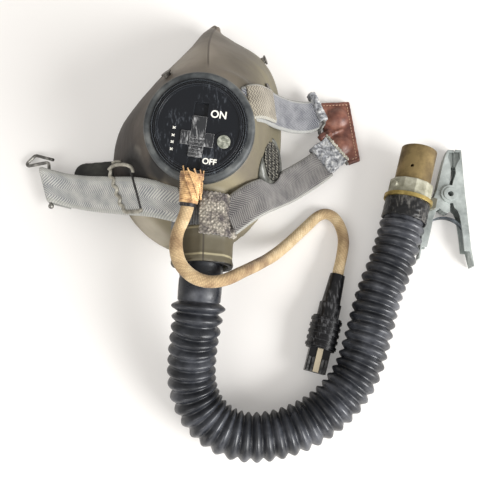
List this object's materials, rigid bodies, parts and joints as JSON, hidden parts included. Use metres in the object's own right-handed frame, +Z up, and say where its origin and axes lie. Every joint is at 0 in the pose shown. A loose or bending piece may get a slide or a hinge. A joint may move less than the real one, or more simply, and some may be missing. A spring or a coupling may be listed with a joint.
{
  "type": "oxygen breathing mask with microphone and hose",
  "caption": "Rubber breathing mask lying on its face seal, with a switched microphone, webbing harness, corrugated hose, metal connector, spring clip and plugged cord.",
  "frame": {"origin": "point of the face-seal plane straight under the middle of the microphone", "axes": "+Z up, away from the face; +Y towards the nose; +X to the wearer's left as the mask lies"},
  "size_m": [0.3088, 0.3026, 0.0867],
  "materials": {
    "mask_rubber": "matt aged moulded rubber",
    "port_rubber": "matt blue-grey rubber",
    "valve_rubber": "ribbed dark rubber",
    "hose_rubber": "satin black rubber",
    "sleeve_rubber": "black wrinkled rubber",
    "black_moulding": "gloss black moulding, scratched",
    "webbing": "grey-blue herringbone webbing",
    "beige_webbing": "beige webbing",
    "leather": "red-brown leather",
    "wire": "worn plated wire",
    "studs": "dull metal",
    "clip_steel": "pale grey pressed steel",
    "connector_brass": "tarnished brass",
    "collar_metal": "pale grey-green",
    "valve_metal": "plain aluminium",
    "cord_cotton": "tan braided cotton",
    "whipping_thread": "ochre waxed thread",
    "plug_black": "black moulded plug",
    "plug_cream": "cream insulation",
    "contact_metal": "worn contacts",
    "capsule_metal": "plain"
  },
  "bodies": {
    "root": {"cheek_flap": "mask_rubber", "cheek_studs": "studs", "clip_bracket": "connector_brass", "clip_jaw_fixed": "clip_steel", "clip_pivot": "clip_steel", "clip_spring": "clip_steel", "connector_collar": "collar_metal", "connector_seal": "valve_rubber", "connector_tube": "connector_brass", "cord_gland": "sleeve_rubber", "cord_tape_band": "sleeve_rubber", "cord_whipping": "whipping_thread", "exhaust_valve_cover": "valve_metal", "exhaust_valve_housing": "valve_rubber", "exhaust_valve_seat": "valve_metal", "facepiece": "mask_rubber", "harness_yoke": "mask_rubber", "hose": "hose_rubber", "hose_end_sleeve": "sleeve_rubber", "inlet_valve_seat": "valve_metal", "left_buckle": "wire", "left_strap": "webbing", "lower_right_strap": "webbing", "lower_strap_roll": "webbing", "microphone_capsule": "capsule_metal", "microphone_cord": "cord_cotton", "microphone_diaphragm": "capsule_metal", "microphone_face_plate": "black_moulding", "microphone_grille": "valve_metal", "microphone_housing": "black_moulding", "microphone_port_ring": "port_rubber", "plug_body": "plug_black", "plug_collar": "plug_black", "plug_contacts": "contact_metal", "plug_insulator": "plug_black", "plug_sleeve": "plug_black", "plug_strip": "plug_cream", "stalk_ferrule": "valve_metal", "switch_bridge": "black_moulding", "switch_contacts": "contact_metal", "tab_back": "leather", "tab_front": "leather", "tab_studs": "studs", "tab_wire": "wire", "terminal_screw": "studs", "upper_right_strap": "webbing", "upper_strap_loop": "beige_webbing", "upper_strap_roll": "webbing", "yoke_pad": "webbing"},
    "switch": {"switch_slider": "black_moulding"},
    "exhaust_flap": {"exhaust_valve_disc": "valve_rubber"},
    "inlet_flap": {"inlet_valve_disc": "valve_rubber"},
    "moving_jaw": {"clip_jaw_moving": "clip_steel"},
    "hook": {"left_hook": "wire"}
  },
  "joints": [
    {"name": "switch_slide", "type": "slide", "parent": "root", "child": "switch", "axis": [0.1392, 0.9609, 0.2396], "range_m": [0, 0.006]},
    {"name": "exhaust_valve_lift", "type": "slide", "parent": "root", "child": "exhaust_flap", "axis": [0.905, -0.0503, 0.4224], "range_m": [0, 0.0015]},
    {"name": "inlet_valve_lift", "type": "slide", "parent": "root", "child": "inlet_flap", "axis": [0.0355, 0.9994, 0], "range_m": [0, 0.0015]},
    {"name": "clip_open", "type": "hinge", "parent": "root", "child": "moving_jaw", "pos_m": [0.1689, -0.0206, 0.0056], "axis": [0, 0, -1], "range_deg": [0, 20], "stiffness_Nm_per_rad": 0.4, "springref_deg": -11.46, "deforming": ["clip_spring"]},
    {"name": "hook_swing", "type": "hinge", "parent": "root", "child": "hook", "pos_m": [-0.10773, -0.01437, 0.00891], "axis": [-0.1302, 0.9915, 0], "range_deg": [0, 60]}
  ]
}
